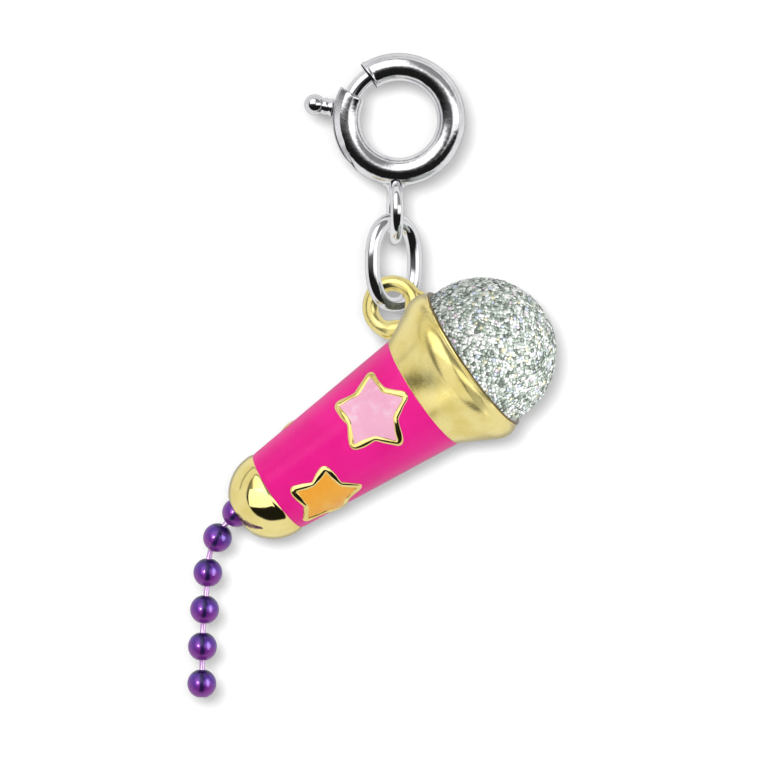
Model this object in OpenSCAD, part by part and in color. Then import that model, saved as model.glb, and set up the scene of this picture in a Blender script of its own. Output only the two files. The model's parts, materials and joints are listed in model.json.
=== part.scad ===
// Toy-microphone charm on a spring-ring clasp, with a ball-chain "cable".
// The origin is the centre of the clasp's opening. +Z is up, and -Y is the face that shows the stars.
// The charm hangs: clasp, jump ring, microphone, then the chain from the microphone's tail.

/* [Spring-ring clasp] */
// Outside diameter of the clasp ring
clasp_od = 7.0; // [6.9:0.05:7.1]
// Diameter of the clasp's tube
tube_d = 1.5; // [1.45:0.01:1.5]
// Wall thickness of the tube
tube_wall = 0.23; // [0.18:0.01:0.24]
// Radius of the straight land round the clasp's opening
opening_r = 2.03; // [2.02:0.005:2.04]
// Angle of the tube's upper mouth, anticlockwise from +X
mouth_upper_deg = 125; // [122:1:127]
// Angle of the tube's lower mouth
mouth_lower_deg = 151; // [149:1:153]
// Angle where the thumb slot stops
slot_stop_deg = 226; // [215:1:235]
// Width of the thumb slot
slot_w = 0.84; // [0.82:0.01:0.9]
// Thickness of the two guide lips beside the slot
lip_t = 0.2; // [0.15:0.01:0.25]
// How far the rear lip stands out from the tube
lip_out = 0.04; // [0.0:0.01:0.1]
// Diameter of the latch wire
latch_d = 0.86; // [0.8:0.01:0.9]
// How far the closed latch reaches into the upper mouth, in degrees
latch_reach_deg = 4; // [2:1:5]
// Angle of the thumb trigger when the clasp is closed
trigger_deg = 170; // [166:1:172]
// Distance of the trigger's knob from the ring's centre
knob_out = 4.5; // [4.3:0.05:4.7]
// Diameter of the trigger's knob
knob_d = 1.12; // [1.0:0.02:1.2]
// Turns of the latch spring
spring_turns = 15; // [12:1:16]
// Diameter of the spring's wire
spring_wire_d = 0.13; // [0.1:0.01:0.15]

/* [Rings that link clasp and microphone] */
// Wire diameter of the eyelet under the clasp
eyelet_wire_d = 0.7; // [0.66:0.01:0.7]
// Outside diameter of the eyelet
eyelet_od = 3.6; // [3.55:0.05:3.6]
// Turn of the eyelet about the vertical
eyelet_yaw = 94; // [93:1:96]
// Wire diameter of the jump ring
jump_wire_d = 0.83; // [0.78:0.01:0.83]
// Outside height of the jump ring
jump_h = 5.2; // [5.15:0.05:5.2]
// Outside width of the jump ring across its own plane
jump_w = 3.71; // [3.66:0.01:3.72]
// Turn of the jump ring about the vertical, near side to the left
jump_yaw = 42; // [41:0.5:43]
// Wire diameter of the bail on the microphone
bail_wire_d = 0.86; // [0.8:0.02:0.9]
// Outside diameter of the bail
bail_od = 3.34; // [3.3:0.02:3.36]
// Turn of the bail about the vertical, right side nearer
bail_yaw = -18; // [-20:1:-17]

/* [Microphone] */
// Rise of the microphone's axis in the hanging plane
mic_rise = 34.2; // [33:0.2:35]
// Lean of the head towards the face side
mic_lean = 9.3; // [8.5:0.1:10]
// Length of the enamelled barrel
barrel_len = 9.6; // [9.5:0.05:9.7]
// Diameter of the barrel at the tail
barrel_d_tail = 4.61; // [4.5:0.01:4.7]
// Diameter of the barrel at the collar
barrel_d_head = 6.52; // [6.4:0.02:6.6]
// Depth of the enamel in the casting's recess
enamel_depth = 0.35; // [0.25:0.01:0.4]
// Radius of the tail cap
cap_r = 2.37; // [2.36:0.01:2.45]
// Largest diameter of the collar
collar_d = 8.76; // [8.7:0.02:8.9]
// Diameter of the glitter ball
ball_d = 7.84; // [7.7:0.02:7.9]
// Distance of the ball's centre from the tail end of the barrel
ball_s = 13.2; // [13.1:0.05:13.3]

/* [Stars] */
// Tip radius of the large star
star_large_r = 2.2; // [1.9:0.02:2.24]
// Tip radius of the small star
star_small_r = 1.94; // [1.7:0.02:1.96]
// Width of the raised outline
star_rim_w = 0.28; // [0.2:0.01:0.32]
// How far the outline stands proud of the barrel
star_proud = 0.06; // [0.02:0.01:0.12]
// How far the star's filling lies under the barrel surface
star_sunk = 0.05; // [0.0:0.01:0.1]

/* [Ball chain] */
// Diameter of a bead
bead_d = 1.5; // [1.45:0.01:1.52]
// Wall thickness of a bead
bead_wall = 0.11; // [0.09:0.005:0.12]
// Centre distance of two beads on a taut chain
bead_pitch = 1.96; // [1.94:0.01:2.0]
// Diameter of the pin between two beads
pin_d = 0.3; // [0.26:0.01:0.3]
// Diameter of a bead's hole
bead_hole_d = 0.42; // [0.4:0.01:0.44]
// Diameter of the pin's captive heads
pin_head_d = 0.5; // [0.48:0.01:0.5]

/* [Hidden] */
$fn = 96;

bond = 0.01;                       // thickness of a bonded or soldered joint line
far = 20;                          // longer than any part, for cutting tools

// Clasp
tube_r = tube_d / 2;
clasp_r = clasp_od / 2 - tube_r;   // radius of the tube's centre line
bore_r = tube_r - tube_wall;
stop_deg = 300;                    // crimp that backs the spring
crimp_deg = 3;
latch_r = latch_d / 2;
latch_tail_deg = trigger_deg + 8;
spigot_deg = 5;                    // guide pin at the latch's tail, inside the spring
spigot_r = 0.21;
peg_r = 0.2;                       // riveted peg that holds the trigger in the latch
neck_r = 0.36;
flange_r = 0.48;
spring_coil_r = 0.37;              // mean radius of the coil

// Links
eyelet_x = -0.2;
eyelet_wire_r = eyelet_wire_d / 2;
eyelet_r = eyelet_od / 2 - eyelet_wire_r;
eyelet_bottom_z = -6.65;
eyelet_z = eyelet_bottom_z + eyelet_od / 2;
jump_wire_r = jump_wire_d / 2;
jump_a = jump_h / 2 - jump_wire_r; // half height of the jump ring's centre line
jump_b = jump_w / 2 - jump_wire_r; // half width
jump_centre = [-0.27, -0.15, -7.53];
bail_wire_r = bail_wire_d / 2;
bail_r = bail_od / 2 - bail_wire_r;
bail_centre = [-0.315, -0.15, -9.86];

// Microphone, in its own frame: +Z along the axis to the head, zero at the tail end of the barrel,
// -Y the face side and -X the side of the bail
mic_origin = [-6.437, 1.1, -19.605];
core_inset = enamel_depth + bond;
cap_s = -0.23;
cap_flat_s = -2.34;
socket_at = [-0.28, 0, -2.41];
collar_r = collar_d / 2;
collar_start_r = barrel_d_head / 2 + 0.02;
lip_r = 0.45;
lip_s = 12.35;
ball_r = ball_d / 2;
bowl_gap = 0.07;
glue_r = 1.5;
glue_s = 8.85;

// Stars: [distance along the axis, turn from the face side towards the lower side, tip radius, roll]
star_large = [7.05, -12.8, star_large_r, -9.5];
star_small = [2.35, 44.7, star_small_r, -14];
star_flank = 36;                   // half angle of a star's tip
star_tip_r = 0.28;                 // rounding of the tips
star_inner_tip_r = 0.12;

// Chain. Each bead and pin has a lean in the hanging plane and a lean away from the face side.
bead_r = bead_d / 2;
bead_inner_r = bead_r - bead_wall;
throat = bead_r - bead_wall / 2;   // distance of the middle of a hole from the bead's centre
pin_gap = bead_pitch - 2 * throat; // length of a pin between two holes
pin_slack = 0.25;                  // the first pin is pushed this far into the tail bead
head_in = 0.43;                    // distance of a head's centre from the middle of its hole
bead_lean = [43, 29, 3, 6, 1, 1];
bead_depth = [11, 8, 1, 0, 0, 0];
pin_lean = [43, 15, 6, 3, 1];
pin_depth = [11, 5, 0, 0, 0];

// ---------- shared shapes ----------

// Turns a shape drawn in XY so that it faces -Y
module face_on() {
    rotate([90, 0, 0])
        children();
}

// A bent round bar: centre line radius r, bar radius wire, from angle a0 to a1
module bent_bar(r, wire, a0, a1) {
    rotate([0, 0, a0])
        rotate_extrude(angle = a1 - a0)
            translate([r, 0])
                circle(wire);
}

module torus(r, wire) {
    rotate_extrude()
        translate([r, 0])
            circle(wire);
}

// An upright ring that is turned about the vertical
module upright(centre, yaw) {
    translate(centre)
        rotate([0, 0, yaw])
            face_on()
                children();
}

// A point at angle a on a circle
function polar(r, a) = [r * cos(a), r * sin(a)];

function arc(centre, r, a0, a1, steps) =
    [for (i = [0:steps]) centre + polar(r, a0 + (a1 - a0) * i / steps)];

// ---------- spring-ring clasp ----------

module clasp_tube() {
    lip_sweep = slot_stop_deg - mouth_lower_deg;
    lip_from = clasp_r + 0.3;
    color("silver")
        face_on()
            difference() {
                union() {
                    bent_bar(clasp_r, tube_r, mouth_lower_deg, mouth_upper_deg + 360);
                    for (side = [-1, 1])
                        rotate([0, 0, mouth_lower_deg])
                            rotate_extrude(angle = lip_sweep)
                                translate([lip_from, side > 0 ? slot_w / 2 : -slot_w / 2 - lip_t])
                                    square([tube_r - 0.3 + (side > 0 ? -lip_out : lip_out), lip_t]);
                }
                bent_bar(clasp_r, bore_r, mouth_lower_deg - 2, stop_deg);
                bent_bar(clasp_r, bore_r, stop_deg + crimp_deg, mouth_upper_deg + 362);
                rotate([0, 0, mouth_lower_deg - 2])
                    rotate_extrude(angle = lip_sweep)
                        translate([clasp_r, -slot_w / 2])
                            square([far, slot_w]);
                cylinder(r = opening_r, h = far, center = true);
            }
}

module clasp_eyelet() {
    color("gainsboro")
        difference() {
            union() {
                upright([eyelet_x, 0, eyelet_z], eyelet_yaw)
                    torus(eyelet_r, eyelet_wire_r);
                translate([eyelet_x, 0, -clasp_od / 2 - 0.3])
                    cylinder(r1 = eyelet_wire_r + 0.01, r2 = 0.66, h = 0.45);
            }
            face_on()
                torus(clasp_r, tube_r + bond / 2);
        }
}

module latch_arm() {
    tip_deg = mouth_upper_deg - latch_reach_deg;
    color("lightgray")
        face_on()
            difference() {
                union() {
                    bent_bar(clasp_r, latch_r, tip_deg, latch_tail_deg);
                    bent_bar(clasp_r, spigot_r, latch_tail_deg - 1, latch_tail_deg + spigot_deg);
                    rotate([0, 0, tip_deg])
                        translate([clasp_r, 0, 0])
                            sphere(latch_r);
                }
                rotate([0, 0, trigger_deg])
                    translate([clasp_r - 0.1, 0, 0])
                        rotate([0, 90, 0])
                            cylinder(r = peg_r + bond, h = far);
            }
}

// The knob, neck and flange stand on a stem that runs in the slot, over a peg in the latch
module thumb_trigger() {
    stem_from = clasp_r + latch_r + 0.03;
    flange_at = clasp_od / 2 + 0.12;
    neck_at = knob_out - 0.5;
    stem_r = slot_w / 2 - 0.04;
    color("silver")
        face_on()
            rotate([0, 0, trigger_deg])
                rotate([0, 90, 0]) {
                    translate([0, 0, clasp_r])
                        cylinder(r = peg_r, h = stem_from - clasp_r + 0.1);
                    translate([0, 0, stem_from])
                        cylinder(r = stem_r, h = flange_at - stem_from + 0.05);
                    translate([0, 0, flange_at])
                        cylinder(r1 = flange_r, r2 = neck_r, h = neck_at - flange_at);
                    translate([0, 0, neck_at - 0.01])
                        cylinder(r = neck_r, h = knob_out - neck_at);
                    translate([0, 0, knob_out])
                        sphere(knob_d / 2);
                }
}

// The spring is one swept wire: rings of points along a coil whose axis is the bent tube's centre line
module latch_spring() {
    steps_per_turn = 14;
    sides = 8;
    from_deg = latch_tail_deg + 1.5;
    to_deg = stop_deg - 1.5;
    steps = spring_turns * steps_per_turn;
    wire_r = spring_wire_d / 2;
    function rim(i, j) =
        let (
            along = from_deg + (to_deg - from_deg) * i / steps,
            around = 360 * i / steps_per_turn,
            side = 360 * j / sides,
            out = spring_coil_r + wire_r * cos(side),
            radial = clasp_r + out * cos(around),
            slide = wire_r * sin(side) / clasp_r * 180 / PI
        )
        [radial * cos(along + slide), radial * sin(along + slide), out * sin(around)];
    points = [for (i = [0:steps]) for (j = [0:sides - 1]) rim(i, j)];
    skin = [
        for (i = [0:steps - 1])
            for (j = [0:sides - 1])
                let (next = (j + 1) % sides)
                [i * sides + j, i * sides + next, (i + 1) * sides + next, (i + 1) * sides + j]
    ];
    first_end = [for (j = [sides - 1:-1:0]) j];
    last_end = [for (j = [0:sides - 1]) steps * sides + j];
    color("dimgray")
        face_on()
            polyhedron(points, concat(skin, [first_end, last_end]));
}

// ---------- jump ring ----------

// An oval of bent wire: two half rings joined by straight flanks, with the cut where it was closed
module jump_ring() {
    flank = jump_a - jump_b;
    color("silver")
        upright(jump_centre, jump_yaw)
            difference() {
                union()
                    for (turn = [0, 180])
                        rotate([0, 0, turn]) {
                            translate([0, flank, 0])
                                bent_bar(jump_b, jump_wire_r, 0, 180);
                            translate([jump_b, flank, 0])
                                rotate([90, 0, 0])
                                    cylinder(r = jump_wire_r, h = 2 * flank);
                        }
                translate([jump_b, flank / 2, 0])
                    cube([2, 0.03, 2], center = true);
            }
}

// ---------- microphone ----------

module in_mic_frame() {
    translate(mic_origin)
        rotate([mic_lean, 90 - mic_rise, 0])
            children();
}

// The barrel's cone, grown or shrunk by inset, from the tail end to the collar
module barrel_cone(inset) {
    cylinder(r1 = barrel_d_tail / 2 - inset, r2 = barrel_d_head / 2 - inset, h = barrel_len);
}

// Outline of a five-pointed star with rounded tips, one of them on +X.
// Its edges lie back by inset from those of the full size.
function star_outline(tip_out, inset, tip_r) =
    let (
        edge = star_tip_r + (tip_out - star_tip_r) * sin(star_flank) - inset,
        tip_centre = (edge - tip_r) / sin(star_flank),
        notch = edge / sin(36 + star_flank),
        swing = 90 - star_flank
    )
    [
        for (tip = [0:72:288])
            each concat(
                arc(polar(tip_centre, tip), tip_r, tip - swing, tip + swing, 6),
                [polar(notch, tip + 36)]
            )
    ];

// A star's shape run outwards through the barrel's wall
module star_bar(star, inset, tip_r, back) {
    rotate([0, 0, back ? 180 : 0])
        rotate([0, 0, star[1]])
            translate([0, -1.2, star[0]])
                rotate([90, 0, 0])
                    rotate([0, 0, 90 + star[3]])
                        linear_extrude(height = 3)
                            polygon(star_outline(star[2], inset, tip_r));
}

module star_rim(star, back) {
    intersection() {
        difference() {
            star_bar(star, 0, star_tip_r, back);
            star_bar(star, star_rim_w, star_inner_tip_r, back);
        }
        barrel_cone(-star_proud);
    }
}

module star_fill(star, back) {
    in_mic_frame()
        difference() {
            intersection() {
                star_bar(star, star_rim_w + bond, star_inner_tip_r, back);
                barrel_cone(star_sunk);
            }
            barrel_cone(enamel_depth);
        }
}

module bail() {
    upright(bail_centre, bail_yaw)
        torus(bail_r, bail_wire_r);
}

// Outline of the casting, as [radius, distance along the axis]
function casting_outline() =
    let (
        flat_deg = asin((cap_flat_s - cap_s) / cap_r),
        shoulder_deg = asin(-cap_s / cap_r),
        lip_centre = [collar_r - lip_r, lip_s],
        flare_deg = 29.5,
        round_r = 1.35,
        round_centre = [collar_r - round_r, lip_s - 0.35]
    )
    concat(
        [[0, cap_flat_s]],
        arc([0, cap_s], cap_r, flat_deg, shoulder_deg, 24),
        [[barrel_d_tail / 2 - core_inset, 0]],
        [[barrel_d_head / 2 - core_inset, barrel_len]],
        [[collar_start_r, barrel_len]],
        [[collar_start_r, barrel_len + 0.06]],
        arc(round_centre, round_r, -flare_deg, 0, 10),
        arc(lip_centre, lip_r, 0, 90, 10),
        [[0, lip_s + lip_r]]
    );

module microphone_casting() {
    color("gold")
        difference() {
            union() {
                in_mic_frame() {
                    rotate_extrude()
                        polygon(casting_outline());
                    for (star = [star_large, star_small])
                        for (back = [false, true])
                            star_rim(star, back);
                }
                bail();
            }
            in_mic_frame() {
                translate([0, 0, ball_s])
                    sphere(ball_r + bowl_gap);
                translate([0, 0, glue_s])
                    cylinder(r = glue_r, h = 2);
                translate(socket_at)
                    sphere(bead_r + bond);
                translate([socket_at.x, socket_at.y, socket_at.z - 2])
                    cylinder(r = bead_r * 0.92, h = 2);
            }
        }
}

module barrel_enamel() {
    color("deeppink")
        difference() {
            in_mic_frame()
                difference() {
                    barrel_cone(0);
                    translate([0, 0, -1])
                        cylinder(r = 1, h = far);
                    barrel_cone(enamel_depth);
                    for (star = [star_large, star_small])
                        for (back = [false, true])
                            star_bar(star, -bond, star_tip_r + bond, back);
                }
            upright(bail_centre, bail_yaw)
                torus(bail_r, bail_wire_r + bond);
        }
}

module front_large_star_enamel() {
    color("pink")
        star_fill(star_large, false);
}

module front_small_star_enamel() {
    color("orange")
        star_fill(star_small, false);
}

module back_large_star_enamel() {
    color("pink")
        star_fill(star_large, true);
}

module back_small_star_enamel() {
    color("orange")
        star_fill(star_small, true);
}

module glitter_ball() {
    color("lightsteelblue")
        in_mic_frame()
            translate([0, 0, ball_s])
                sphere(ball_r);
}

module ball_adhesive() {
    color("ivory")
        in_mic_frame()
            difference() {
                translate([0, 0, glue_s + bond])
                    cylinder(r = glue_r - bond, h = 1);
                translate([0, 0, ball_s])
                    sphere(ball_r + bond);
            }
}

// ---------- ball chain ----------

// Direction of a link that hangs with the given leans
function hang(lean, depth) = [-sin(lean) * cos(depth), sin(depth), -cos(lean) * cos(depth)];

function bead_dir(k) = hang(bead_lean[k], bead_depth[k]);
function pin_dir(k) = hang(pin_lean[k - 1], pin_depth[k - 1]);
function gap_before(k) = pin_gap - (k == 1 ? pin_slack : 0);

// Centre of the tail bead, from the socket's place in the microphone
function turn_x(p, a) = [p.x, p.y * cos(a) - p.z * sin(a), p.y * sin(a) + p.z * cos(a)];
function turn_y(p, a) = [p.x * cos(a) + p.z * sin(a), p.y, p.z * cos(a) - p.x * sin(a)];
function tail_bead_at() = mic_origin + turn_y(turn_x(socket_at, mic_lean), 90 - mic_rise);

// Middle of the hole where pin k leaves the bead above it
function pin_from(k) = bead_at(k - 1) + throat * bead_dir(k - 1);
function pin_to(k) = pin_from(k) + gap_before(k) * pin_dir(k);
function bead_at(k) = k == 0 ? tail_bead_at() : pin_to(k) + throat * bead_dir(k);

module bead(k) {
    color("purple")
        translate(bead_at(k))
            rotate([bead_depth[k], bead_lean[k], 0])
                difference() {
                    sphere(bead_r);
                    sphere(bead_inner_r);
                    cylinder(d = bead_hole_d, h = far, center = true);
                }
}

// A pin with a captive ball head at each end
module pin(k) {
    above = head_in + (k == 1 ? pin_slack : 0);
    length = above + gap_before(k) + head_in;
    color("plum")
        translate(pin_from(k))
            rotate([pin_depth[k - 1], pin_lean[k - 1], 0])
                translate([0, 0, above]) {
                    translate([0, 0, -length])
                        cylinder(d = pin_d, h = length);
                    for (drop = [0, length])
                        translate([0, 0, -drop])
                            sphere(d = pin_head_d);
                }
}

module tail_bead() bead(0);
module chain_bead_1() bead(1);
module chain_bead_2() bead(2);
module chain_bead_3() bead(3);
module chain_bead_4() bead(4);
module chain_bead_5() bead(5);
module chain_pin_1() pin(1);
module chain_pin_2() pin(2);
module chain_pin_3() pin(3);
module chain_pin_4() pin(4);
module chain_pin_5() pin(5);

clasp_tube();
clasp_eyelet();
latch_arm();
thumb_trigger();
latch_spring();
jump_ring();
microphone_casting();
barrel_enamel();
front_large_star_enamel();
front_small_star_enamel();
back_large_star_enamel();
back_small_star_enamel();
glitter_ball();
ball_adhesive();
tail_bead();
chain_bead_1();
chain_bead_2();
chain_bead_3();
chain_bead_4();
chain_bead_5();
chain_pin_1();
chain_pin_2();
chain_pin_3();
chain_pin_4();
chain_pin_5();
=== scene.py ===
"""A hanging charm: spring ring clasp, jump ring, enamelled gold microphone, glitter ball, ball chain."""

import json
import math
from collections import namedtuple

import bmesh
import bpy
import numpy as np
from mathutils import Matrix, Vector

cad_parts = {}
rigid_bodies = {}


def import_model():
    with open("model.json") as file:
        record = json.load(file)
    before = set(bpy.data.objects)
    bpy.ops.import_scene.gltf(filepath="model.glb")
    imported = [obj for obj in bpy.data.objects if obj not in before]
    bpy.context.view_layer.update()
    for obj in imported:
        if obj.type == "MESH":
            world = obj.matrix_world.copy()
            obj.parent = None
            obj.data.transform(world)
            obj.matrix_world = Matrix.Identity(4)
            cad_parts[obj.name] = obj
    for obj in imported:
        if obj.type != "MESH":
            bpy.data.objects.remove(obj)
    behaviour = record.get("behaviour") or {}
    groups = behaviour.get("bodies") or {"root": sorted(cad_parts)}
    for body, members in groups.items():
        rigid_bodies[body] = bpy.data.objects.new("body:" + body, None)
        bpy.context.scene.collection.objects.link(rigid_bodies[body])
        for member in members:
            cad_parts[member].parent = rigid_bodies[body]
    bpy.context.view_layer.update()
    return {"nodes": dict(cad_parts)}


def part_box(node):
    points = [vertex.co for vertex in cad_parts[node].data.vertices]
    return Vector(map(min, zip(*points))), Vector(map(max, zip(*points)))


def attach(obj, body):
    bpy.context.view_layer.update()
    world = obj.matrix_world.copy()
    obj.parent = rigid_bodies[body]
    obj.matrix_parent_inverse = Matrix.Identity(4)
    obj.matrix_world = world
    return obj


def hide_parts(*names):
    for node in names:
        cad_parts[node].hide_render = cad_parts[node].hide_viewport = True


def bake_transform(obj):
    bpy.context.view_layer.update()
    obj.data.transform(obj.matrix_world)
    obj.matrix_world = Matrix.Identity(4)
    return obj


# Lengths and places are in millimetres here and in metres in the materials; MM turns them into metres.
MM = 0.001
MIDDLE = Vector((-1, 0, -14))  # the charm's middle
CAMERA_AT = Vector((-0.779, -449.1, -13.92))
CARD_FAR = 300  # from the charm's middle to a card or a side lamp
FILL_FAR = 449
NEVER = 1.0  # a height in metres that no piece reaches

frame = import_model()

# ---------- shader helpers ----------

class Shader:
    """Builds one node tree with short calls."""

    def __init__(self, tree):
        self.tree = tree
        tree.nodes.clear()

    def node(self, kind, inputs=(), **props):
        n = self.tree.nodes.new(kind)
        for key, value in props.items():
            setattr(n, key, value)
        for key, value in dict(inputs).items():
            if isinstance(value, bpy.types.NodeSocket):
                self.tree.links.new(value, n.inputs[key])
            else:
                n.inputs[key].default_value = value
        return n

    def math(self, op, a, b=0.0):
        return self.node("ShaderNodeMath", {0: a, 1: b}, operation=op).outputs[0]

    def product(self, *factors):
        out = factors[0]
        for factor in factors[1:]:
            out = self.math("MULTIPLY", out, factor)
        return out

    def step(self, value, low, high, to=(0.0, 1.0)):
        """A smooth ramp of value from low to high."""
        n = self.node("ShaderNodeMapRange", {0: value, 1: low, 2: high, 3: to[0], 4: to[1]},
                      interpolation_type="SMOOTHSTEP")
        return n.outputs[0]

    def noise(self, scale, detail, rough, at):
        ins = {"Scale": scale, "Detail": detail, "Roughness": rough, "Vector": at}
        return self.node("ShaderNodeTexNoise", ins).outputs["Fac"]

    def mix(self, fac, a, b):
        return self.node("ShaderNodeMix", {0: fac, 6: a, 7: b}, data_type="RGBA").outputs[2]

    def vector(self, op, a, b):
        return self.node("ShaderNodeVectorMath", {0: a, 1: b}, operation=op).outputs[0]

    def bump(self, height, distance, normal=None):
        ins = {"Height": height, "Distance": distance, "Strength": 1.0}
        if normal is not None:
            ins["Normal"] = normal
        return self.node("ShaderNodeBump", ins).outputs[0]

    def place(self):
        """Where the shaded point lies in the piece's own frame, in metres."""
        return self.node("ShaderNodeTexCoord").outputs["Object"]

    def surface(self, **inputs):
        ins = {key.replace("_", " "): value for key, value in inputs.items()}
        skin = self.node("ShaderNodeBsdfPrincipled", ins)
        self.node("ShaderNodeOutputMaterial", {"Surface": skin.outputs[0]})


def material(name):
    m = bpy.data.materials.new(name)
    m.use_nodes = True
    return m, Shader(m.node_tree)


def rgb(r, g, b):
    """A colour given in display values, 0 to 255."""
    def lin(c):
        c = c / 255
        return c / 12.92 if c <= 0.04045 else ((c + 0.055) / 1.055) ** 2.4
    return (lin(r), lin(g), lin(b), 1.0)


def grey(share):
    """A grey that sends back this share of the light."""
    return (share, share, share, 1.0)


# ---------- materials ----------

def plated(name, colour, tint, rough, wave, marked=0.8, grain=0.000002,
           polished_from=NEVER, painted_shade_from=NEVER):
    """Bright plating: faintly clouded colour, handling marks in the roughness, a slightly uneven surface.
    Above polished_from, along the piece's own Z, it is polished; above the second height given, a painted
    shade darkens it, standing for the ball's shadow in the bowl's rim."""
    m, s = material(name)
    at = s.place()
    cloud = s.noise(600, 3, 0.55, at)
    marks = s.noise(4500, 4, 0.7, at)
    colour_out = s.mix(s.step(cloud, 0.35, 0.7), colour, tint)
    dull = s.math("ADD", s.product(s.step(marks, 0.45, 0.75), rough * marked), rough * 0.6)
    height = s.node("ShaderNodeSeparateXYZ", {0: at}).outputs[2]
    polished = s.step(height, polished_from - 0.0001, polished_from + 0.0001)
    # painted shade: a dark brown band above the given height stands for the ball's shadow in the groove at
    # the bowl's rim
    painted_shade_mask = s.step(height, painted_shade_from - 0.00002, painted_shade_from + 0.00002, (0.0, 0.9))
    colour_out = s.mix(painted_shade_mask, colour_out, rgb(96, 70, 26))
    roughness = s.product(dull, s.math("SUBTRACT", 1.0, s.product(polished, 0.65)))
    uneven = s.bump(s.noise(700, 2, 0.4, at), wave)
    fine = s.bump(marks, grain, uneven)
    s.surface(Base_Color=colour_out, Metallic=1.0, Roughness=roughness, Normal=fine)
    return m


def enamel(name, colour, deep, light, swirled=0.0):
    """Fired enamel: a glossy skin over colour that thins and pools a little, with paler swirls."""
    m, s = material(name)
    at = s.place()
    pool = s.noise(350, 3, 0.5, at)
    speck = s.noise(6000, 2, 0.5, at)
    c = s.mix(s.step(pool, 0.35, 0.65), deep, colour)
    c = s.mix(s.product(s.step(speck, 0.62, 0.75), 0.2), c, light)
    swirl = s.noise(900, 3, 0.65, at)
    c = s.mix(s.product(s.step(swirl, 0.48, 0.68), swirled), c, light)
    normal = s.bump(s.noise(420, 2, 0.5, at), 0.00004)
    s.surface(Base_Color=c, Roughness=0.28, Normal=normal, IOR=1.26, Coat_Weight=0.06, Coat_Roughness=0.06)
    return m


def glitter_resin(name):
    """Clear grainy resin packed with fine silver glitter: every cell is a fleck that faces its own way."""
    m, s = material(name)
    at = s.place()
    cells = s.node("ShaderNodeTexVoronoi", {"Vector": at, "Scale": 7000.0, "Randomness": 1.0})
    value = s.node("ShaderNodeSeparateColor", {0: cells.outputs["Color"]})
    base = s.mix(s.step(value.outputs[0], 0.1, 0.9), rgb(150, 162, 150), rgb(212, 222, 212))
    tilt = s.vector("SUBTRACT", cells.outputs["Color"], (0.5, 0.5, 0.5))
    spread = s.vector("MULTIPLY", tilt, (1.2, 1.2, 1.2))
    turned = s.vector("ADD", s.node("ShaderNodeNewGeometry").outputs["Normal"], spread)
    unit = s.node("ShaderNodeVectorMath", {0: turned}, operation="NORMALIZE").outputs[0]
    s.surface(Base_Color=base, Metallic=0.2, Roughness=0.35, Normal=unit, Coat_Weight=0.2,
              Coat_Roughness=0.15)
    return m


def flake_film(name):
    """Cut metallised film: every flake has its own brightness, a few are tinted and a few look dark."""
    m, s = material(name)
    island = s.node("ShaderNodeNewGeometry").outputs["Random Per Island"]
    tint = s.node("ShaderNodeValToRGB", {0: island})
    ramp = tint.color_ramp
    ramp.interpolation = "CONSTANT"
    ramp.elements[0].color = rgb(250, 253, 250)
    ramp.elements[1].position = 0.40
    ramp.elements[1].color = rgb(206, 216, 206)
    darker = ((0.60, rgb(176, 188, 176)), (0.82, rgb(128, 138, 128)))
    tinted = ((0.93, rgb(248, 242, 206)), (0.96, rgb(214, 224, 242)), (0.985, rgb(238, 222, 234)))
    for position, colour in darker + tinted:
        ramp.elements.new(position).color = colour
    crinkle = s.bump(s.noise(9000, 2, 0.5, s.place()), 0.000003)
    s.surface(Base_Color=tint.outputs[0], Metallic=0.3, Roughness=0.25, Normal=crinkle)
    return m


def lacquered(name, above, below, dark_band, dark_band_share):
    """Lacquer over brass, with painted light: one colour above running into another below is a painted
    reflection, a dark line down the front is a painted reflection of the dark gap between the lamps, and a
    dark top is painted shade.
    """
    m, s = material(name)
    at = s.place()
    x, _, z = s.node("ShaderNodeSeparateXYZ", {0: at}).outputs
    cloud = s.product(s.math("SUBTRACT", s.noise(1500, 3, 0.6, at), 0.5), 0.0016)
    # painted reflection: one colour above running into another below, as the lacquer would mirror the room
    c = s.mix(s.step(s.math("ADD", z, cloud), -0.0006, 0.0005), below, above)
    # painted reflection: a wandering dark line down the front, for the dark gap between the two lamps
    wander = s.product(s.math("SUBTRACT", s.noise(2600, 3, 0.7, at), 0.5), 0.0003)
    off = s.math("ABSOLUTE", s.math("ADD", x, wander))
    down_front = s.product(s.step(off, 0.00020, 0.00006), s.step(z, -0.00055, -0.0003))
    # painted shade: the top darkens towards the hole
    dark = s.math("MAXIMUM", down_front, s.step(z, 0.00042, 0.00062))
    c = s.mix(s.product(dark, dark_band_share), c, dark_band)
    normal = s.bump(s.noise(3000, 2, 0.5, at), 0.000006)
    s.surface(Base_Color=c, Metallic=0.3, Roughness=0.35, Normal=normal, IOR=1.3, Coat_Weight=0.6,
              Coat_Roughness=0.07, Coat_IOR=1.45)
    return m


# ---------- the world, camera and stage ----------

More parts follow.
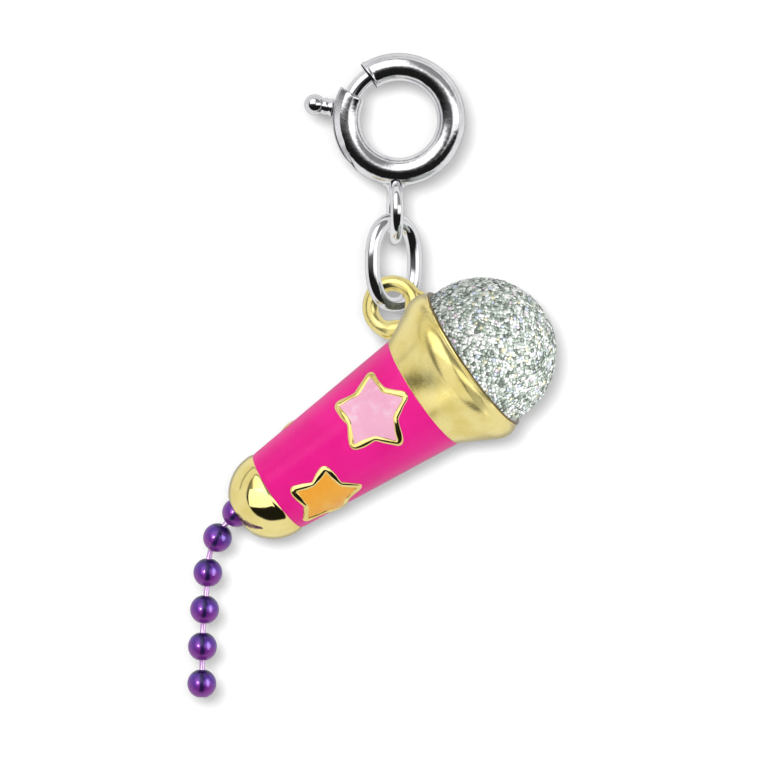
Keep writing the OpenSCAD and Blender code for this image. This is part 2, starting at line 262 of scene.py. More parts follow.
def build_world():
    """A light tent with folds, a box of light up on the left, one to the right, a dark room below.

    Every direction is placed where a mirror ball would show it: x to the right, z up, r from the middle."""
    world = bpy.data.worlds.new("studio")
    bpy.context.scene.world = world
    world.use_nodes = True
    s = Shader(world.node_tree)
    way = s.node("ShaderNodeTexCoord").outputs["Generated"]
    east, north, up = s.node("ShaderNodeSeparateXYZ", {0: way}).outputs
    to_camera = s.product(s.math("SUBTRACT", 1.0, north), 2.0)
    stretch = s.math("SQRT", s.math("MAXIMUM", to_camera, 0.0001))
    x = s.math("DIVIDE", east, stretch)
    z = s.math("DIVIDE", up, stretch)
    behind = s.product(s.math("ADD", 1.0, north), 0.5)
    r = s.math("SQRT", s.math("MAXIMUM", behind, 0.0))

    def box(x0, x1, z0, z1, soft):
        return s.product(s.step(x, x0 - soft, x0 + soft), s.step(x, x1 + soft, x1 - soft),
                         s.step(z, z0 - soft, z0 + soft), s.step(z, z1 + soft, z1 - soft))

    room = s.step(z, -0.12, 0.20, (0.012, 0.28))
    lights = s.math("ADD", s.product(box(-0.44, 0.06, 0.08, 0.52, 0.04), 1.35),
                    s.product(box(0.12, 0.60, -0.06, 0.17, 0.04), 1.25))
    inner = s.product(s.math("ADD", room, lights), s.step(r, 0.58, 0.55))
    dark_band = s.product(box(-2, 2, 0.1, 2, 0.05), s.step(r, 0.71, 0.73), s.step(r, 0.77, 0.75), 0.45)
    folds = s.math("MAXIMUM", dark_band, s.step(r, 0.92, 0.98, (0.0, 0.45)))
    cloth = s.product(s.step(r, 0.565, 0.605), s.math("SUBTRACT", 1.0, folds), 0.87)
    seen = s.node("ShaderNodeLightPath").outputs["Is Camera Ray"]
    unseen = s.product(s.math("ADD", inner, cloth), s.math("SUBTRACT", 1.0, seen))
    background = s.node("ShaderNodeBackground", {"Color": s.math("ADD", unseen, seen), "Strength": 1.0})
    s.node("ShaderNodeOutputWorld", {"Surface": background.outputs[0]})


def build_camera():
    """A long lens that looks level and straight at the clasp's face."""
    data = bpy.data.cameras.new("camera")
    data.lens, data.sensor_width = 400, 36
    data.clip_start, data.clip_end = 0.01, 2.0
    cam = bpy.data.objects.new("camera", data)
    bpy.context.scene.collection.objects.link(cam)
    cam.location = CAMERA_AT * MM
    cam.rotation_euler = (math.radians(90), 0, 0)
    bpy.context.scene.camera = cam


def sheet_material():
    """White paper that only shows from its front, brighter where it lies flat."""
    m, s = material("white_paper")
    at = s.place()
    fibre = s.noise(900, 4, 0.6, at)
    height = s.node("ShaderNodeSeparateXYZ", {0: at}).outputs[2]
    upright_grey = s.mix(fibre, grey(0.39), grey(0.41))
    colour = s.mix(s.step(height, -0.040, -0.049), upright_grey, grey(0.53))
    paper = s.node("ShaderNodeBsdfDiffuse", {"Color": colour})
    clear = s.node("ShaderNodeBsdfTransparent")
    back = s.node("ShaderNodeNewGeometry").outputs["Backfacing"]
    both = s.node("ShaderNodeMixShader", {0: back, 1: paper.outputs[0], 2: clear.outputs[0]})
    s.node("ShaderNodeOutputMaterial", {"Surface": both.outputs[0]})
    return m


def build_sheet():
    """A pale floor that curves up into a wall behind the charm, in metres."""
    near, wall, floor, bend, top, half = -0.30, 0.06, -0.050, 0.03, 0.20, 0.15
    line = [(near, floor), (wall - bend, floor)]
    line += [(wall - bend + bend * math.sin(a), floor + bend - bend * math.cos(a))
             for a in np.radians(np.linspace(7.5, 90, 12))]
    line.append((wall, top))
    bm = bmesh.new()
    rows = [[bm.verts.new((x, y, z)) for x in (-half, half)] for y, z in line]
    for a, b in zip(rows, rows[1:]):
        bm.faces.new((a[0], a[1], b[1], b[0])).smooth = True
    mesh = bpy.data.meshes.new("paper_sweep")
    bm.to_mesh(mesh)
    sheet = bpy.data.objects.new("paper_sweep", mesh)
    bpy.context.scene.collection.objects.link(sheet)
    mesh.materials.append(sheet_material())
    sheet.visible_glossy = False
    return sheet


def toward(nx, nz):
    """The direction that a mirror facing (nx, nz) in the camera's view shows."""
    c = math.sqrt(1 - nx * nx - nz * nz)
    return Vector((2 * nx * c, 1 - 2 * c * c, 2 * nz * c))


def add_lamp(name, at, size, watts, lit, shape="RECTANGLE", through=None):
    """A soft lamp, aimed at the charm's middle, that lights only the objects in lit. Its light passes
    through the one object given as through."""
    data = bpy.data.lights.new(name, "AREA")
    data.shape, data.energy = shape, watts
    data.size, data.size_y = size[0] * MM, size[1] * MM
    lamp = bpy.data.objects.new(name, data)
    bpy.context.scene.collection.objects.link(lamp)
    lamp.location = at * MM
    lamp.rotation_euler = (MIDDLE - at).to_track_quat("-Z", "Y").to_euler()
    lamp.visible_camera = False
    chosen = bpy.data.collections.new(name)
    for obj in lit:
        chosen.objects.link(obj)
    lamp.light_linking.receiver_collection = chosen
    if through:
        blocking = bpy.data.collections.new(name + "_blocking")
        for obj in bpy.data.objects:
            if obj.type == "MESH" and obj != through:
                blocking.objects.link(obj)
        lamp.light_linking.blocker_collection = blocking
    return lamp


def add_card(name, left, right, low, high, glow, lit, sheet):
    """A glowing card that fills a patch of what a mirror ball shows, seen only by the objects in lit."""
    x, z = (left + right) / 2, (low + high) / 2
    aim = toward(x, z)
    edges = [toward(*at) for at in ((left, z), (right, z), (x, low), (x, high))]
    spread = [math.tan(aim.angle(edge)) * CARD_FAR for edge in edges]
    size = (spread[0] + spread[1], spread[2] + spread[3])
    watts = glow * math.pi * size[0] * size[1] * MM * MM
    return add_lamp(name, MIDDLE + aim * CARD_FAR, size, watts, lit, through=sheet)


def build_lamps(sheet, cast, bright, matt, sparkle, balls):
    """The keys throw the close shadow on the paper. Each other lamp and card lights some pieces only."""
    for name, x, z, size, watts in (("key_main", -4.6, -10.2, 8, 3.30), ("key_near", 2.2, -13.0, 11, 1.80)):
        key = add_lamp(name, Vector((x, CAMERA_AT.y, z)), (size, size), watts, [sheet], "DISK")
        key.rotation_euler = (math.radians(90), 0, 0)
        key.visible_glossy = False
    add_card("cast_card", -0.47, 0.08, -0.52, 0.04, 0.92, cast, sheet)
    add_card("cast_side", 0.14, 0.50, -0.50, -0.12, 0.50, cast, sheet)
    add_card("bright_card", -0.55, 0.10, -0.29, 0.10, 1.30, bright, sheet)
    from_front = MIDDLE + toward(0.10, 0.0) * FILL_FAR
    add_lamp("front_fill", from_front, (120, 120), 0.42, matt)
    add_lamp("ball_fill", from_front, (120, 120), 0.14, sparkle)
    add_lamp("ball_side", MIDDLE + toward(0.40, -0.22) * CARD_FAR, (180, 240), 0.80, sparkle, through=sheet)
    for name, x, z, size, watts in (("bead_left", -0.28, 0.04, (40, 40), 0.7),
                                    ("bead_right", 0.43, 0.03, (160, 340), 1.0)):
        spot = add_lamp(name, MIDDLE + toward(x, z) * CARD_FAR, size, watts, balls, "ELLIPSE")
        spot.visible_diffuse = False


# ---------- mesh helpers ----------

def add_piece(name, shape, mat, body, nodes, slot, origin=Matrix()):
    """A new mesh piece in the CAD's frame that stands for CAD nodes and rides on one body. origin is the
    object's own frame, where its material starts."""
    verts, faces = shape
    inverse = origin.inverted()
    mesh = bpy.data.meshes.new(name)
    mesh.from_pydata([(inverse @ v) * MM for v in verts], [], faces)
    bm = bmesh.new()
    bm.from_mesh(mesh)
    bmesh.ops.remove_doubles(bm, verts=bm.verts, dist=2e-7)
    bmesh.ops.recalc_face_normals(bm, faces=bm.faces)
    bm.to_mesh(mesh)
    bm.free()
    mesh.polygons.foreach_set("use_smooth", [True] * len(mesh.polygons))
    mesh.materials.append(mat)
    obj = bpy.data.objects.new(name, mesh)
    bpy.context.scene.collection.objects.link(obj)
    obj.matrix_world = Matrix.Translation(origin.translation * MM) @ origin.to_3x3().to_4x4()
    if body:
        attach(obj, body)
    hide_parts(*nodes)
    return obj


def loft(rings, closed=False):
    """Quads between rings of points, each ring closed on itself. closed joins the last ring to the first."""
    count, size = len(rings), len(rings[0])
    verts = [p for ring in rings for p in ring]
    faces = []
    for i in range(count if closed else count - 1):
        a, b = i * size, (i + 1) % count * size
        for j in range(size):
            k = (j + 1) % size
            faces.append((a + j, a + k, b + k, b + j))
    if not closed:
        faces.append(tuple(range(size - 1, -1, -1)))
        faces.append(tuple(range((count - 1) * size, count * size)))
    return verts, faces


def join(*shapes):
    """Several shapes as one."""
    verts, faces = [], []
    for v, f in shapes:
        faces += [tuple(i + len(verts) for i in face) for face in f]
        verts += v
    return verts, faces


def spin(profile, place, steps=96, closed=False):
    """A lathe: profile is a list of (radius, height), place a matrix. closed joins its two ends."""
    turns = np.linspace(0, 2 * math.pi, steps, endpoint=False)
    rings = [[place @ Vector((max(r, 2e-5) * math.cos(a), max(r, 2e-5) * math.sin(a), h)) for a in turns]
             for r, h in profile]
    return loft(rings, closed)


def arc(centre, r, a0, a1, steps):
    """Points on an arc, angles in degrees."""
    return [(centre[0] + r * math.cos(math.radians(a)), centre[1] + r * math.sin(math.radians(a)))
            for a in np.linspace(a0, a1, steps)]


def sweep(path, radius, side, closed=False):
    """A round bar along points; radius is a number or a list, side a direction never along the path."""
    steps = 40
    rings = []
    for i, p in enumerate(path):
        before = path[i - 1] if i or closed else p
        after = path[(i + 1) % len(path)] if i + 1 < len(path) or closed else p
        along = (after - before).normalized()
        u = along.cross(side).normalized()
        w = along.cross(u)
        r = radius[i] if isinstance(radius, list) else radius
        rings.append([p + (u * math.cos(a) + w * math.sin(a)) * r
                      for a in np.linspace(0, 2 * math.pi, steps, endpoint=False)])
    return loft(rings, closed)


def smooth(t):
    """A soft step from 0 to 1."""
    t = min(max(t, 0.0), 1.0)
    return t * t * (3 - 2 * t)


def upright(centre, yaw):
    """A ring's own frame: X across the ring, Y through its hole, Z up, turned about the vertical."""
    return Matrix.Translation(Vector(centre)) @ Matrix.Rotation(math.radians(yaw), 4, "Z")


def hole_of(frame_of):
    """The direction through a ring's hole, from the ring's frame."""
    return frame_of.to_3x3() @ Vector((0, 1, 0))


# ---------- clasp ----------

CLASP_R, TUBE_R, BORE_R = 2.75, 0.75, 0.52
MOUTH_LOW, MOUTH_HIGH = 151.0, 485.0  # the tube's ends, as angles the long way round
LIP_FALL, SLOT_FALL, SLOT_END = 200, 221, 234  # where the lips sink, and where the slot narrows and closes
# The span by the upper mouth, in degrees, whose faces carry painted shade.
MOUTH_PAINTED_SHADE_DEG = 0.9
LATCH_R, LATCH_TIP, LATCH_TAIL = 0.43, 121.0, 178.0
TRIGGER_AT = 170
EYELET_AT, EYELET_YAW, EYELET_R, EYELET_WIRE_R = (-0.2, 0, -4.85), 94, 1.45, 0.35
RING_AT, RING_YAW, RING_WIRE_R = (-0.27, -0.15, -7.53), 42, 0.40
RING_HALF_WIDTH, RING_HALF_HEIGHT, RING_POWER = 1.50, 2.20, 0.86  # a power under 1 squares the oval
COIL_TURNS, COIL_R, COIL_WIRE_R = 15, 0.37, 0.065


def clock(radius, degrees, y=0.0):
    """A point at a distance from the clasp's centre, at an angle from +X towards +Z."""
    a = math.radians(degrees)
    return Vector((radius * math.cos(a), y, radius * math.sin(a)))


def slot_shape(degrees):
    """How tall the lips stand at an angle, from 0 to 1, and half the slot's width."""
    share = 1 - smooth((degrees - LIP_FALL) / 32)
    open_share = 1 - smooth((degrees - SLOT_FALL) / (SLOT_END - SLOT_FALL))
    return share, 0.006 + 0.414 * math.sqrt(open_share)


def clasp_section(degrees, rim):
    """The tube's section as (outward, sideways) points: a C that is open outwards. rim rounds a mouth."""
    gap = slot_shape(degrees)[1] - rim * 0.2
    flare = 0.055 * smooth((degrees - (MOUTH_HIGH - 5.5)) / 3.0)
    outer, bore = TUBE_R + flare - rim, BORE_R + flare * 0.5 + rim * 0.7
    outer_end, bore_end = math.degrees(math.asin(gap / outer)), math.degrees(math.asin(gap / bore))
    half = [(max(x, -0.72), y) for x, y in arc((0, 0), outer, 180, outer_end, 44)]
    half += arc((0, 0), bore, bore_end, 180, 24)
    return half + [(x, -y) for x, y in half[-2:0:-1]]


def clasp_ring():
    """The bent tube: rounded mouths, a slot for the thumb trigger, and a hairline join past the slot's end.
    """
    ends = [(0.0, 0.085), (0.3, 0.055), (1.1, 0.035), (2.0, 0.014), (3.0, 0.0)]
    stations = [(MOUTH_LOW + d, rim) for d, rim in ends]
    stations += [(a, 0.0) for a in np.linspace(MOUTH_LOW + 4, 240, 80)]
    stations += [(a, 0.0) for a in np.linspace(241.5, MOUTH_HIGH - 7, 150)]
    stations += [(a, 0.0) for a in np.linspace(MOUTH_HIGH - 6.5, MOUTH_HIGH - 3.5, 6)]
    stations += [(MOUTH_HIGH - d, rim) for d, rim in reversed(ends)]
    return loft([[clock(CLASP_R + x, a, y) for x, y in clasp_section(a, rim)] for a, rim in stations])


def clasp_lip(side_sign):
    """One of the two flat lips that stand up beside the slot and sink in where the slot closes."""
    rings = []
    for a in np.linspace(MOUTH_LOW + 0.05, SLOT_END - 2, 70):
        share, gap = slot_shape(a)
        side, lean, edge = gap + 0.24 * share + 0.004, 0.085 * share, 0.10 * share + 0.001
        root = math.sqrt(TUBE_R ** 2 - side ** 2)
        top = root + 0.012 + 0.377 * share
        flat = top - edge - root
        section = [(root - 0.06, side - 0.03), (root - 0.01, side - 0.004)]
        section += [(root + flat * t, side + lean * t) for t in (0.05, 0.3, 0.7, 0.97)]
        section += arc((top - edge, side + lean - edge), edge, 88, 0, 6)
        section += [(top, gap + 0.02 * share + 0.001), (top - 0.01, gap), (root - 0.06, gap)]
        rings.append([clock(CLASP_R + x, a, side_sign * y) for x, y in section])
    return loft(rings)


def latch_wire():
    """The sliding latch: a bent wire with a domed tip in the upper mouth and a guide pin in the spring."""
    dome = math.degrees(LATCH_R / CLASP_R)
    pin_r = 0.21
    angles = [LATCH_TIP - dome * math.cos(t) for t in np.linspace(0, math.pi / 2, 10)]
    radii = [max(LATCH_R * math.sin(t), 0.003) for t in np.linspace(0, math.pi / 2, 10)]
    angles += list(np.linspace(LATCH_TIP + 1, LATCH_TAIL - 0.6, 56))
    radii += [LATCH_R] * 56
    angles += [LATCH_TAIL + step for step in (0, 0.1, 4.7, 5)]
    radii += [LATCH_R - 0.04, pin_r, pin_r, pin_r - 0.04]
    return sweep([clock(CLASP_R, a) for a in angles], radii, Vector((0, 1, 0)))


def trigger():
    """The thumb trigger, turned on its stem: peg, stem, foot inside the lips, flare above them, and knob."""
    out = clock(1, TRIGGER_AT)
    x = Vector((0, 1, 0))
    y = out.cross(x)
    place = Matrix([(x[i], y[i], out[i], 0) for i in range(3)] + [(0, 0, 0, 1)])
    profile = [(0, CLASP_R), (0.2, CLASP_R + 0.01), (0.2, 3.2), (0.37, 3.21), (0.38, 3.24), (0.38, 3.50)]
    profile += [(0.46, 3.53), (0.485, 3.58), (0.47, 3.64), (0.43, 3.71), (0.40, 3.79)]
    profile += [(0.45, 3.90), (0.46, 3.93), (0.44, 3.98), (0.415, 4.04)]
    profile += arc((0, 4.49), 0.55, -44, 89, 40) + [(0, 5.04)]
    return spin(profile, place, 64)


def eyelet():
    """The eyelet ring, and the cone of solder that holds it under the clasp."""
    frame_of = upright(EYELET_AT, EYELET_YAW)
    ring = [frame_of @ Vector((EYELET_R * math.cos(a), 0, EYELET_R * math.sin(a)))
            for a in np.linspace(0, 2 * math.pi, 120, endpoint=False)]
    loop = sweep(ring, EYELET_WIRE_R, hole_of(frame_of), True)
    solder = [(0, -4.02), (0.30, -4.0), (0.36, -3.92), (0.375, -3.82), (0.40, -3.72), (0.46, -3.62)]
    solder += [(0.56, -3.53), (0.66, -3.475), (0.7, -3.44), (0.66, -3.38), (0, -3.36)]
    return join(loop, spin(solder, Matrix.Translation((EYELET_AT[0], 0, 0)), 64))


def jump_ring():
    """An oval ring of bent wire, closed with a fine cut that the eyelet hides."""
    frame_of = upright(RING_AT, RING_YAW)
    gap = 0.008
    path = []
    for t in np.linspace(math.pi / 2 + gap, math.pi * 2.5 - gap, 180):
        c, s = math.cos(t), math.sin(t)
        x = math.copysign(abs(c) ** RING_POWER, c) * RING_HALF_WIDTH
        z = math.copysign(abs(s) ** RING_POWER, s) * RING_HALF_HEIGHT
        path.append(frame_of @ Vector((x, 0, z)))
    end = [RING_WIRE_R - 0.05, RING_WIRE_R - 0.015]
    return sweep(path, end + [RING_WIRE_R] * 176 + end[::-1], hole_of(frame_of))


def spring_coil():
    """The latch's return spring, a fine wire coiled along the inside of the tube."""
    from_deg, to_deg = 179.5, 298.5
    path = []
    for t in np.linspace(0, 1, COIL_TURNS * 24):
        around = 2 * math.pi * COIL_TURNS * t
        along_tube = from_deg + (to_deg - from_deg) * t
        path.append(clock(CLASP_R + COIL_R * math.cos(around), along_tube, COIL_R * math.sin(around)))
    rings = []
    up = Vector((0.3, 0.5, 0.8)).normalized()
    for i, p in enumerate(path):
        along = (path[min(i + 1, len(path) - 1)] - path[max(i - 1, 0)]).normalized()
        u = (up - along * up.dot(along)).normalized()
        up = u
        w = along.cross(u)
        rings.append([p + (u * math.cos(a) + w * math.sin(a)) * COIL_WIRE_R
                      for a in np.linspace(0, 2 * math.pi, 8, endpoint=False)])
    return loft(rings)


# ---------- microphone ----------

# The microphone's own frame: Z runs along its axis, from the tail's end of the barrel to the ball.
MIC_MM = (Matrix.Translation((-6.437, 1.1, -19.605))
          @ Matrix.Rotation(math.radians(55.8), 4, "Y") @ Matrix.Rotation(math.radians(9.3), 4, "X"))
BARREL_LEN, BARREL_TAIL_R, BARREL_HEAD_R = 9.6, 2.305, 3.26
BALL_R, BALL_S = 3.92, 13.2  # BALL_S is the ball's middle along the axis
BAIL_AT, BAIL_YAW, BAIL_R, BAIL_WIRE_R = (-0.315, -0.15, -9.86), -18, 1.24, 0.42

# A star's middle along that axis, its turn about it in degrees, the reach of its tips, and its own roll.
Star = namedtuple("Star", "along turn tip roll")


def barrel_r(s):
    """The barrel's radius at a distance along the axis."""
    return BARREL_TAIL_R + (BARREL_HEAD_R - BARREL_TAIL_R) * s / BARREL_LEN


def collar():
    """The flared collar with its rolled lip and the bowl the ball sits in."""
    profile = [(1.5, 9.2), (BARREL_HEAD_R - 0.3, 9.45), (BARREL_HEAD_R - 0.02, 9.5)]
    profile += [(3.275, 9.56), (3.29, 9.64)]
    profile += arc((3.03, 12.0), 1.35, -29.5, 0, 16)[:-1] + arc((3.60, 12.0), 0.78, 0, 38, 12)
    profile += [(4.185, 12.50)] + arc((4.06, 12.61), 0.14, -35, 180, 20)
    bowl_r = BALL_R + 0.06
    low, high = (math.degrees(math.asin((s - BALL_S) / bowl_r)) for s in (9.35, 12.6))
    profile += arc((0, BALL_S), bowl_r, high, low, 20)
    return spin(profile, MIC_MM, 160, True)


def tail_cap():
    """The rounded end cap with the socket for the chain's first bead."""
    profile = [(1.2, 0.3), (2.1, 0.25), (2.29, 0.08), (2.335, 0.0), (2.36, -0.1)]
    profile += arc((0, -0.23), 2.37, 2, -57, 40)
    profile += [(1.15, -2.27), (1.0, -2.325), (0.8, -2.34), (0.74, -2.33), (0.70, -2.28)]
    profile += [(0.66, -1.9), (0.5, -1.6)]
    return spin(profile, MIC_MM, 128, True)


def bail():
    """The cast loop, thicker where it flows into the collar, and the short web between the two."""
    frame_of = upright(BAIL_AT, BAIL_YAW)
    roots, reach = (276, 357), 48
    path, radii = [], []
    for t in np.linspace(0, 2 * math.pi, 160, endpoint=False):
        path.append(frame_of @ Vector((BAIL_R * math.cos(t), 0, BAIL_R * math.sin(t))))
        away = [abs((math.degrees(t) - at + 180) % 360 - 180) for at in roots]
        radii.append(BAIL_WIRE_R + 0.13 * sum(smooth(1 - a / reach) for a in away))
    loop = sweep(path, radii, hole_of(frame_of), True)
    web = [(0.35, -0.42, -9.05), (0.75, -0.5, -9.3), (1.15, -0.55, -9.47), (1.5, -0.6, -9.62)]
    return join(loop, sweep([Vector(p) for p in web], [0.30, 0.44, 0.42, 0.30], Vector((0, 1, 0))))


def barrel():
    """The enamelled barrel: a shell over the casting's core, its edges pooled against the gold."""
    outer = []
    for s in np.linspace(0.0, BARREL_LEN, 60):
        edge = min(s, BARREL_LEN - s)
        outer.append((barrel_r(s) - 0.035 * math.exp(-edge / 0.09), s))
    inner = [(barrel_r(s) - 0.35, s) for s in np.linspace(BARREL_LEN, 0.0, 20)]
    return spin(outer + inner, MIC_MM, 160, True)


def star_line(tip_out, inset):
    """The star's outline in its own plane: rounded tips and softened notches, evenly sampled."""
    tips, flank, tip_r, count = 5, 36.0, 0.30, 200
    half_step = 180 / tips
    edge = tip_r + (tip_out - tip_r) * math.sin(math.radians(flank)) - inset
    round_r = max(tip_r - inset, 0.10)
    tip_at = (edge - round_r) / math.sin(math.radians(flank))
    notch = edge / math.sin(math.radians(half_step + flank))
    points = []
    for k in range(tips):
        a = math.radians(2 * half_step * k)
        for t in np.radians(np.linspace(flank - 90, 90 - flank, 7)):
            points.append((tip_at * math.cos(a) + round_r * math.cos(a + t),
                           tip_at * math.sin(a) + round_r * math.sin(a + t)))
        b = a + math.radians(half_step)
        points.append((notch * math.cos(b), notch * math.sin(b)))
    line = np.array(points + points[:1])
    length = np.concatenate([[0], np.cumsum(np.hypot(*np.diff(line, axis=0).T))])
    at = np.linspace(0, length[-1], count, endpoint=False)
    even = np.stack([np.interp(at, length, line[:, 0]), np.interp(at, length, line[:, 1])], 1)
    for _ in range(3):
        even = (np.roll(even, 1, 0) + even * 2 + np.roll(even, -1, 0)) / 4
    return even


def star_point(star, u, v, lift, back):
    """A point over the barrel, from the star's own plane; lift is its height over the enamel."""
    a = math.radians(90 + star.roll)
    x, h = u * math.cos(a) - v * math.sin(a), star.along + u * math.sin(a) + v * math.cos(a)
    r = barrel_r(h)
    phi = math.asin(max(-1.0, min(1.0, x / r))) + math.radians(star.turn + (180 if back else 0))
    return MIC_MM @ Vector(((r + lift) * math.sin(phi), -(r + lift) * math.cos(phi), h))


def star_outline(star, back, seed):
    """The raised gold outline: a rounded ridge of slightly uneven width."""
    mid = star_line(star.tip, 0.155)
    ahead = np.roll(mid, -1, 0) - np.roll(mid, 1, 0)
    across = np.stack([ahead[:, 1], -ahead[:, 0]], 1) / np.hypot(*ahead.T)[:, None]
    wander = np.linspace(0, 2 * math.pi, len(mid), endpoint=False)
    half = 0.158 + 0.022 * np.sin(wander * 5 + seed) + 0.016 * np.sin(wander * 11 + 2.3 * seed)
    rings = []
    for p, n, w in zip(mid, across, half):
        ring = []
        for t in np.radians(np.linspace(0, 180, 11)):
            ring.append(star_point(star, *(p + n * w * math.cos(t)), -0.02 + 0.10 * math.sin(t), back))
        for t in (-1, 1):
            ring.append(star_point(star, *(p + n * w * 0.9 * t), -0.25, back))
        rings.append(ring)
    return loft(rings, True)


def star_filling(star, back):
    """Enamel inside the outline, crowned in the middle and dipping to the gold."""
    rim = star_line(star.tip, 0.14)
    steps = np.linspace(1.0, 0.02, 14)
    rings = [[star_point(star, *p, -0.25, back) for p in rim]]
    for k in steps:
        lift = 0.03 - 0.014 * k ** 6
        rings.append([star_point(star, *(p * k), lift, back) for p in rim])
    return loft(rings)


def grainy_ball():
    """The head: a ball whose surface is rough with set glitter."""
    bm = bmesh.new()
    bmesh.ops.create_icosphere(bm, subdivisions=7, radius=BALL_R)
    rng = np.random.default_rng(11)
    directions = np.array([v.co for v in bm.verts]) / BALL_R
    height = np.zeros(len(directions))
    for scale, size in ((9, 0.008), (23, 0.008), (47, 0.006)):
        wave = rng.normal(size=(24, 3)) * scale
        phase = rng.uniform(0, 2 * math.pi, 24)
        height += size * np.sin(directions @ wave.T + phase).sum(1) / math.sqrt(12)
    height = np.clip(height, -0.03, 0.03) - 0.05
    middle = Vector((0, 0, BALL_S))
    verts = [MIC_MM @ (Vector(d) * (BALL_R + h) + middle) for d, h in zip(directions, height)]
    faces = [tuple(v.index for v in f.verts) for f in bm.faces]
    bm.free()
    return verts, faces


def glitter_flakes():
    """Six-sided flakes of film, lying in the ball's surface and each tipped its own way."""
    rng = np.random.default_rng(4)
    count, golden_angle = 6000, 2.39996  # the angle in radians
    hidden_below, half_thick = 12.3, 0.004
    middle = Vector((0, 0, BALL_S))
    verts, faces = [], []
    for i in range(count):
        z = 1 - 2 * (i + 0.5) / count
        if BALL_S + BALL_R * z < hidden_below:
            continue
        phi = i * golden_angle + rng.uniform(-0.5, 0.5) * 0.04
        flat = math.sqrt(1 - z * z)
        d = Vector((flat * math.cos(phi), flat * math.sin(phi), z))
        tip = Vector(rng.normal(size=3)) * 0.16
        n = (d + tip).normalized()
        u = n.cross(Vector(rng.normal(size=3))).normalized()
        w = n.cross(u)
        size = rng.uniform(0.09, 0.155)
        centre = d * (BALL_R + rng.uniform(-0.012, 0.022)) + middle
        first = len(verts)
        for lift in (half_thick, -half_thick):
            verts += [MIC_MM @ (centre + n * lift + (u * math.cos(a) + w * math.sin(a)) * size)
                      for a in np.radians(range(0, 360, 60))]
        faces += [tuple(first + j for j in range(6)), tuple(first + j for j in range(11, 5, -1))]
        for j in range(6):
            k = (j + 1) % 6
            faces.append((first + j, first + 6 + j, first + 6 + k, first + k))
    return verts, faces


# ---------- ball chain ----------

# Each link's lean in the camera's view and its tilt in depth, in degrees, from the tail down.
BEAD_LEAN, BEAD_DEPTH = [43, 29, 3, 6, 1, 1], [11, 8, 1, 0, 0, 0]
PIN_LEAN, PIN_DEPTH = [43, 15, 6, 3, 1], [11, 5, 0, 0, 0]
BEAD_R, BEAD_BORE_R, HOLE_R = 0.765, 0.64, 0.205


def hanging(node, lean, depth):
    """A frame at a CAD node's middle whose +Z runs up the chain."""
    low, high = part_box(node)
    turned = Matrix.Rotation(math.radians(lean), 4, "Y") @ Matrix.Rotation(math.radians(depth), 4, "X")
    return Matrix.Translation((low + high) / 2 / MM) @ turned


def bead(place):
    """A hollow bead with a turned-in hole at each end."""
    outer = arc((0, 0), BEAD_R, 71, -71, 57)
    inner = arc((0, 0), BEAD_BORE_R, -70, 70, 30)
    lip = [(0.222, 0.712), (HOLE_R, 0.675), (HOLE_R, 0.63)]
    return spin(outer + [(r, -h) for r, h in lip] + inner + lip[::-1], place, 64, True)


def pin(place):
    """A short wire with a captive head at each end."""
    half, head_r, wire_r, neck = 0.715, 0.25, 0.15, 0.22
    profile = arc((0, half), head_r, 90, -50, 12) + [(wire_r, half - neck), (wire_r, neck - half)]
    profile += arc((0, -half), head_r, 50, -90, 12)
    return spin(profile, place, 32)


# ---------- dress the CAD nodes ----------

def dress(node, mat):
    """Gives a CAD node that stays in the picture its material."""
    obj = frame["nodes"][node]
    obj.data.materials.clear()
    obj.data.materials.append(mat)


# ---------- build the charm ----------

silver = plated("bright_silver", rgb(240, 240, 242), rgb(224, 224, 228), 0.07, 0.000004)
worn = plated("worn_silver", rgb(238, 238, 240), rgb(214, 214, 218), 0.11, 0.000006, 1.6, 0.000009)
satin = plated("satin_silver", rgb(208, 208, 211), rgb(188, 188, 192), 0.42, 0.000004, 0.3, 0.0000005)
# Near-black plating on the faces at the tube's upper mouth: painted shade for the deep gap between the mouth
# and the latch wire.
painted_mouth_shade = plated("painted_mouth_shade", rgb(58, 56, 56), rgb(34, 33, 33), 0.5, 0.000004)
gold = plated("pale_gold", rgb(248, 230, 152), rgb(234, 212, 124), 0.14, 0.00002)
# The dark band at the top of the collar's rim is painted shade, for the ball's shadow in the bowl.
cast_gold = plated("cast_gold", rgb(250, 234, 158), rgb(236, 216, 130), 0.38, 0.00003, 0.2, 0.0000008,
                   polished_from=0.01247, painted_shade_from=0.01267)
cap_gold = plated("cap_gold", rgb(250, 234, 158), rgb(236, 216, 130), 0.30, 0.00002, 0.2, 0.0000008,
                  polished_from=-0.0017)
steel = plated("spring_wire", rgb(170, 172, 176), rgb(140, 142, 148), 0.25, 0.000004)
pink = enamel("hot_pink_enamel", rgb(246, 32, 150), rgb(238, 26, 142), rgb(250, 80, 172))
pale = enamel("pale_pink_enamel", rgb(253, 190, 216), rgb(246, 176, 206), rgb(255, 222, 238), 0.7)
orange = enamel("orange_enamel", rgb(255, 184, 72), rgb(252, 172, 58), rgb(255, 206, 112), 0.5)
glitter = glitter_resin("glitter_resin")
flake = flake_film("flake_film")
# The last colour and share paint the dark front line (painted reflection) and the darker top (painted shade)
# on beads and pins.
purple = lacquered("purple_lacquer", rgb(92, 48, 162), rgb(138, 48, 160), rgb(34, 18, 84), 0.95)
lilac = lacquered("lilac_lacquer", rgb(238, 206, 248), rgb(230, 188, 242), rgb(150, 60, 170), 0.4)

STAR_LARGE = Star(along=7.05, turn=-12.8, tip=2.20, roll=-9.5)
STAR_SMALL = Star(along=2.35, turn=44.7, tip=1.94, roll=-14.0)
stars = (("front_large", STAR_LARGE, False, pale, "pale_pink_enamel"),
         ("front_small", STAR_SMALL, False, orange, "orange_enamel"),
         ("back_large", STAR_LARGE, True, pale, "pale_pink_enamel"),
         ("back_small", STAR_SMALL, True, orange, "orange_enamel"))


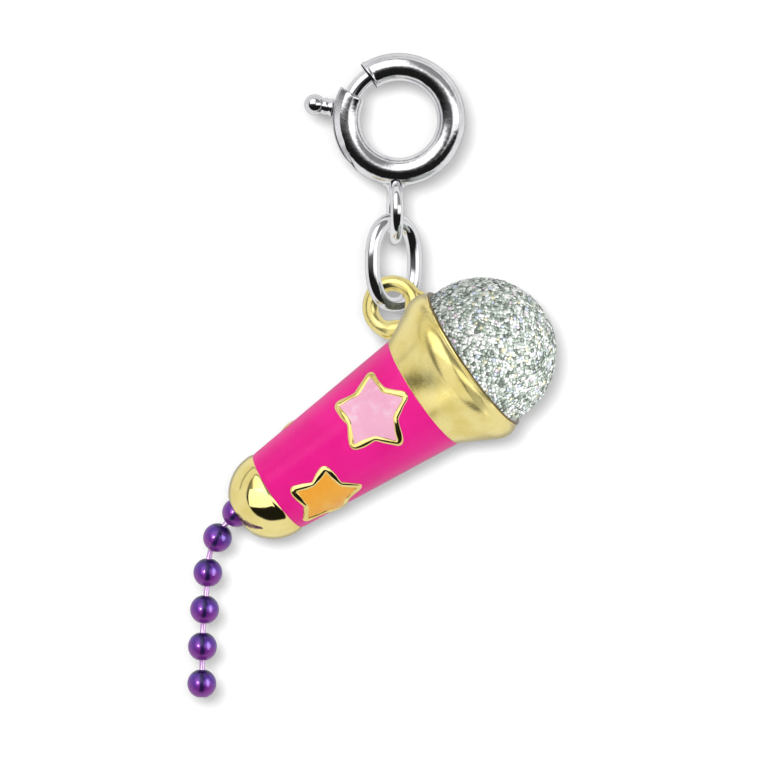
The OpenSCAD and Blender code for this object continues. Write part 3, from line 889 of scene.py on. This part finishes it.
def build_clasp():
    """The clasp with its latch, and the jump ring. Returns the eyelet and the jump ring."""
    tube = add_piece("clasp_ring", clasp_ring(), worn, "clasp", ["clasp_tube"], "clasp_plating")
    # Faces just inside the upper mouth take the near-black material, painted shade for the gap by the latch
    # wire.
    tube.data.materials.append(painted_mouth_shade)
    for face in tube.data.polygons:
        from_mouth = MOUTH_HIGH - 360 - math.degrees(math.atan2(face.center.z, face.center.x))
        if 0 <= from_mouth < MOUTH_PAINTED_SHADE_DEG:
            face.material_index = 1
    for side, sign in (("front", -1), ("back", 1)):
        add_piece("clasp_lip_" + side, clasp_lip(sign), satin, "clasp", ["clasp_tube"], "clasp_plating")
    links = [add_piece("clasp_loop", eyelet(), silver, "clasp", ["clasp_eyelet"], "eyelet_plating"),
             add_piece("oval_ring", jump_ring(), silver, "jump_ring", ["jump_ring"], "jump_ring_plating")]
    add_piece("latch_wire", latch_wire(), silver, "latch", ["latch_arm"], "latch_plating")
    add_piece("trigger", trigger(), silver, "latch", ["thumb_trigger"], "trigger_plating")
    coil = add_piece("coil", spring_coil(), steel, None, ["latch_spring"], "spring_steel")
    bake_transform(coil)
    return links


def build_microphone():
    """The microphone. Returns its pieces in four lists, one for each set of lamps."""
    casting = ("microphone", ["microphone_casting"], "gold_plating")
    cast = [add_piece("mic_collar", collar(), cast_gold, *casting, MIC_MM),
            add_piece("mic_bail", bail(), cast_gold, *casting)]
    bright = [add_piece("mic_tail_cap", tail_cap(), cap_gold, *casting, MIC_MM)]
    matt = [add_piece("mic_barrel", barrel(), pink, "microphone", ["barrel_enamel"], "pink_enamel")]
    for seed, (label, star, back, mat, slot) in enumerate(stars):
        bright.append(add_piece("mic_" + label + "_outline", star_outline(star, back, seed), gold, *casting))
        matt.append(add_piece("mic_" + label + "_star", star_filling(star, back), mat, "microphone",
                              [label + "_star_enamel"], slot))
    ball = ("microphone", ["glitter_ball"], "glitter_resin")
    sparkle = [add_piece("mic_ball", grainy_ball(), glitter, *ball),
               add_piece("mic_glitter", glitter_flakes(), flake, *ball)]
    dress("ball_adhesive", glitter)
    return cast, bright, matt, sparkle


def build_chain():
    """The tail bead and the five links that hang from it. Returns every bead and pin."""
    place = hanging("tail_bead", BEAD_LEAN[0], BEAD_DEPTH[0])
    balls = [add_piece("tail_ball", bead(place), purple, "microphone", ["tail_bead"], "purple_bead", place)]
    for k in range(1, 6):
        node = "chain_bead_%d" % k
        place = hanging(node, BEAD_LEAN[k], BEAD_DEPTH[k])
        balls.append(add_piece("ball_%d" % k, bead(place), purple, "bead_%d" % k, [node], "purple_bead",
                               place))
        node = "chain_pin_%d" % k
        place = hanging(node, PIN_LEAN[k - 1], PIN_DEPTH[k - 1])
        balls.append(add_piece("link_%d" % k, pin(place), lilac, "pin_%d" % k, [node], "lilac_pin", place))
    return balls


links = build_clasp()
cast, bright, matt, sparkle = build_microphone()
balls = build_chain()

# Reflected in the silver, these would show as patches of colour.
for obj in cast + links + matt:
    obj.visible_glossy = False

bpy.context.scene.view_settings.view_transform = "Standard"
build_world()
build_camera()
build_lamps(build_sheet(), cast, bright, matt, sparkle, balls)
